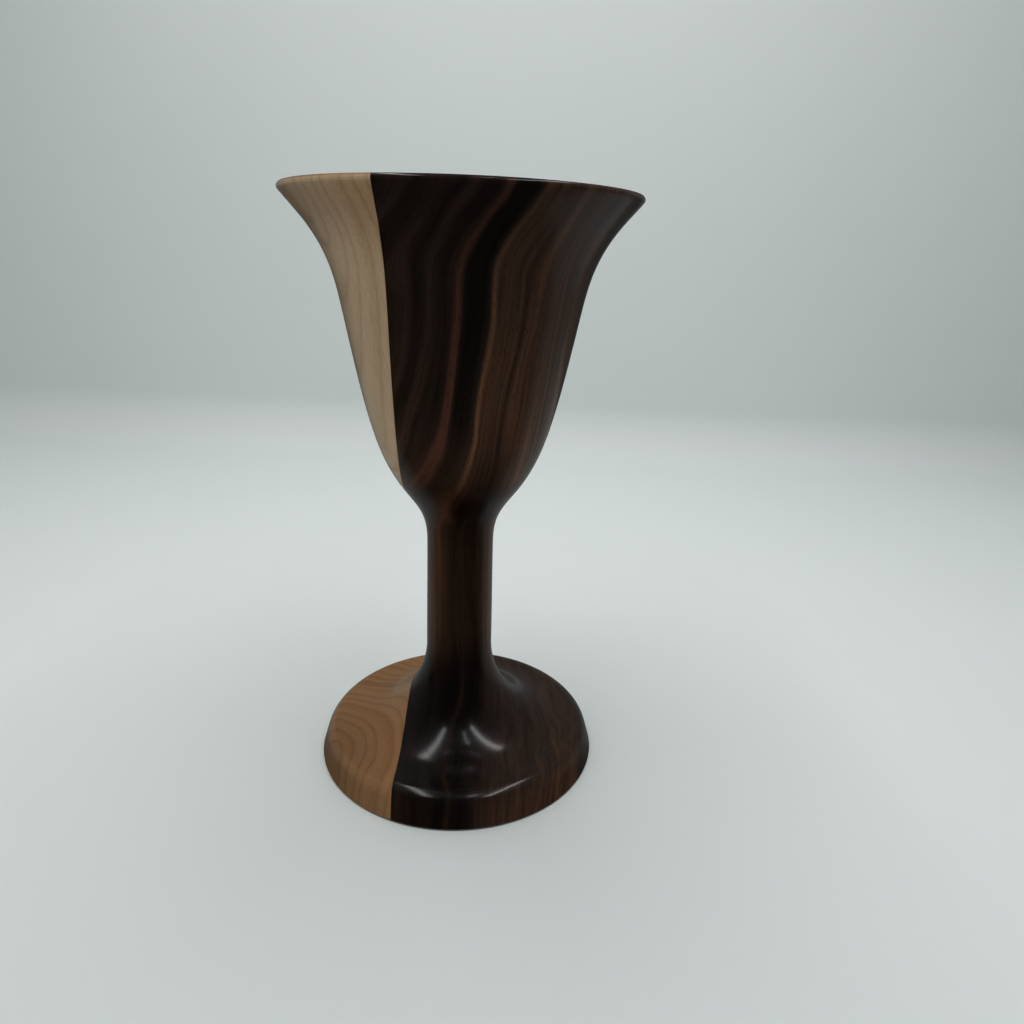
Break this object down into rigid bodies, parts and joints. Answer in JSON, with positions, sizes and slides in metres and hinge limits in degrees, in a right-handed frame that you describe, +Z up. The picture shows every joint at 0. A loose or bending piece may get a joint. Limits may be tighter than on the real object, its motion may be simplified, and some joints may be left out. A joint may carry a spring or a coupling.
{
  "type": "communion chalice",
  "caption": "Stemmed wooden cup with a flaring bell-shaped bowl, a slim straight stem and a broad round foot, turned from dark walnut with a pale maple side.",
  "frame": {"origin": "centre of the plane that the foot stands on, on the axis of turning", "axes": "+Z up along the axis of turning, towards the lip; -X towards the maple side"},
  "size_m": [0.0876, 0.0876, 0.1564],
  "materials": {
    "walnut": "gloss",
    "maple": "gloss",
    "wood_glue": "satin"
  },
  "bodies": {
    "root": {"walnut_body": "walnut", "maple_cup_panel": "maple", "maple_foot_panel": "maple", "cup_glue_line": "wood_glue", "foot_glue_line": "wood_glue"}
  },
  "joints": []
}
